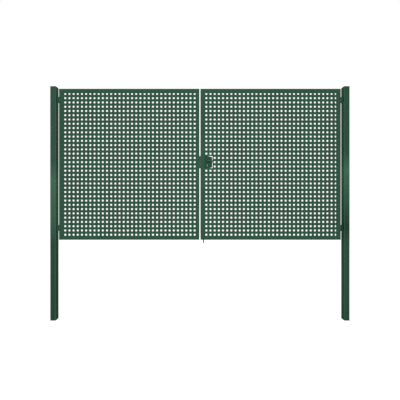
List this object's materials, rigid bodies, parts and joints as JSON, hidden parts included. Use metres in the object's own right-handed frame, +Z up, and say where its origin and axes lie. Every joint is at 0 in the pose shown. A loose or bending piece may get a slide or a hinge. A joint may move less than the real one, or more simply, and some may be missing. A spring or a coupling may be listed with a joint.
{
  "type": "perforated metal gate",
  "caption": "Double-leaf swing gate of square-perforated sheet on welded tube frames, hung between two square posts, with a lever lock and a drop bolt.",
  "frame": {"origin": "middle of the left post's foot", "axes": "+X along the gate to the right post, +Y away from the front face, +Z up"},
  "size_m": [3.194, 0.137, 2.5],
  "materials": {
    "post_powder_coat": "moss green polyester powder coat, fine matt",
    "leaf_powder_coat": "moss green polyester powder coat, fine matt",
    "lock_powder_coat": "dark green powder coat, matt",
    "zinc_plated_steel": "zinc plated",
    "nickel_plated_brass": "satin nickel"
  },
  "bodies": {
    "posts": {"left_post": "post_powder_coat", "right_post": "post_powder_coat", "left_post_cap": "post_powder_coat", "right_post_cap": "post_powder_coat", "left_upper_hinge_bracket": "post_powder_coat", "left_lower_hinge_bracket": "post_powder_coat", "right_upper_hinge_bracket": "post_powder_coat", "right_lower_hinge_bracket": "post_powder_coat", "left_upper_hinge_pin": "zinc_plated_steel", "left_lower_hinge_pin": "zinc_plated_steel", "right_upper_hinge_pin": "zinc_plated_steel", "right_lower_hinge_pin": "zinc_plated_steel"},
    "left_leaf": {"left_hinge_stile": "leaf_powder_coat", "left_lock_stile": "leaf_powder_coat", "left_top_rail": "leaf_powder_coat", "left_bottom_rail": "leaf_powder_coat", "left_sheet_top": "leaf_powder_coat", "left_sheet_middle": "leaf_powder_coat", "left_sheet_bottom": "leaf_powder_coat", "left_upper_leaf_hinge": "leaf_powder_coat", "left_lower_leaf_hinge": "leaf_powder_coat", "lock_keep": "leaf_powder_coat"},
    "right_leaf": {"right_hinge_stile": "leaf_powder_coat", "right_lock_stile": "leaf_powder_coat", "right_top_rail": "leaf_powder_coat", "right_bottom_rail": "leaf_powder_coat", "right_sheet_top": "leaf_powder_coat", "right_sheet_middle": "leaf_powder_coat", "right_sheet_bottom": "leaf_powder_coat", "right_upper_leaf_hinge": "leaf_powder_coat", "right_lower_leaf_hinge": "leaf_powder_coat", "lock_case": "lock_powder_coat", "lock_forend": "leaf_powder_coat", "lock_cylinder": "nickel_plated_brass", "upper_bolt_guide": "leaf_powder_coat", "lower_bolt_guide": "leaf_powder_coat"},
    "lever": {"lever_spindle": "zinc_plated_steel", "front_lever": "leaf_powder_coat", "rear_lever": "leaf_powder_coat"},
    "drop_bolt": {"drop_bolt_rod": "leaf_powder_coat", "drop_bolt_handle": "leaf_powder_coat"}
  },
  "joints": [
    {"name": "left_leaf_swing", "type": "hinge", "parent": "posts", "child": "left_leaf", "pos_m": [0.04875, -0.001, 1.669], "axis": [0, 0, 1], "range_deg": [0, 90]},
    {"name": "right_leaf_swing", "type": "hinge", "parent": "posts", "child": "right_leaf", "pos_m": [3.08525, -0.001, 1.669], "axis": [0, 0, -1], "range_deg": [0, 90]},
    {"name": "lever_turn", "type": "hinge", "parent": "right_leaf", "child": "lever", "pos_m": [1.6465, 0, 1.702], "axis": [0, 1, 0], "range_deg": [0, 40], "stiffness_Nm_per_rad": 1, "springref_deg": -22.92},
    {"name": "drop_bolt_slide", "type": "slide", "parent": "right_leaf", "child": "drop_bolt", "axis": [0, 0, 1], "range_m": [0, 0.06]}
  ]
}
